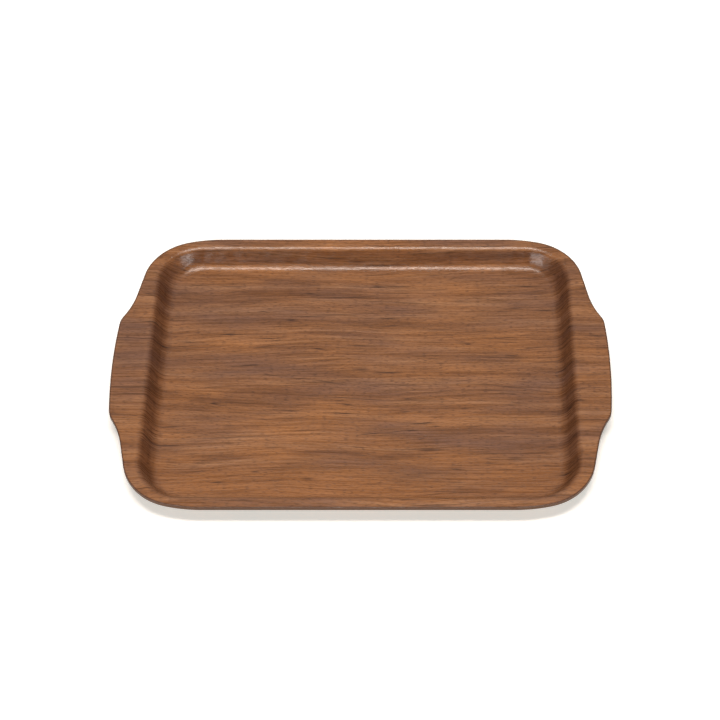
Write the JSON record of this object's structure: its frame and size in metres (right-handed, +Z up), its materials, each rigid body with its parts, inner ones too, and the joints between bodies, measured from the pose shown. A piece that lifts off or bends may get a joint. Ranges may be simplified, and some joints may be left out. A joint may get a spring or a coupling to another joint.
{
  "type": "serving tray",
  "caption": "Form-pressed laminated wood serving tray: shallow well with rounded corners and sloping walls, flat rim, and a lug handle at each short end.",
  "frame": {"origin": "middle of the underside, on the plane that the tray stands on", "axes": "+X along the length, from lug to lug; +Y across the width; +Z up, out of the well"},
  "size_m": [0.45, 0.312, 0.021],
  "materials": {
    "face_veneer": "sliced teak veneer, satin clear lacquer",
    "crossband_veneer": "rotary-cut veneer laid across the tray, its cut edge stained dark",
    "long_grain_veneer": "rotary-cut veneer laid along the tray, its cut edge stained dark",
    "back_veneer": "sliced teak veneer, satin clear lacquer"
  },
  "bodies": {
    "root": {"face_veneer": "face_veneer", "upper_crossband": "crossband_veneer", "upper_long_ply": "long_grain_veneer", "core_crossband": "crossband_veneer", "lower_long_ply": "long_grain_veneer", "lower_crossband": "crossband_veneer", "back_veneer": "back_veneer"}
  },
  "joints": []
}
